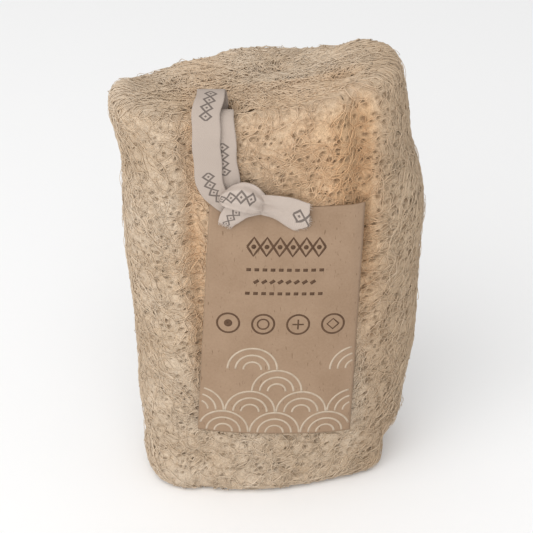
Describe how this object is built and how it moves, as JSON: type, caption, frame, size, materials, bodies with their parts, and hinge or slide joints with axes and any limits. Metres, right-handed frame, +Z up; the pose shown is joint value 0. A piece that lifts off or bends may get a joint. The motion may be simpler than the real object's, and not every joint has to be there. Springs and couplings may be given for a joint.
{
  "type": "natural loofah sponge with hanging tape and card label",
  "caption": "Dried loofah sponge pressed flat and cut square at both ends, with a knotted white cotton hanging tape and a plain brown card label on its front.",
  "frame": {"origin": "middle of the footprint on the ground plane, at the sponge's lower cut end", "axes": "+Z up along the sponge's length, +X to the viewer's right when facing the label, +Y towards the back"},
  "size_m": [0.1178, 0.0724, 0.1723],
  "materials": {
    "loofah_fibre": "matt dry plant fibre net, straw coloured with orange-brown creases",
    "cotton_tape": "matt off-white plain weave cotton tape with small dark printed lozenges",
    "kraft_card": "uncoated brown card of pressed wood pulp with plain brown and white line printing"
  },
  "bodies": {
    "root": {"loofah_sponge": "loofah_fibre", "hanging_tape": "cotton_tape", "card_label": "kraft_card"}
  },
  "joints": []
}
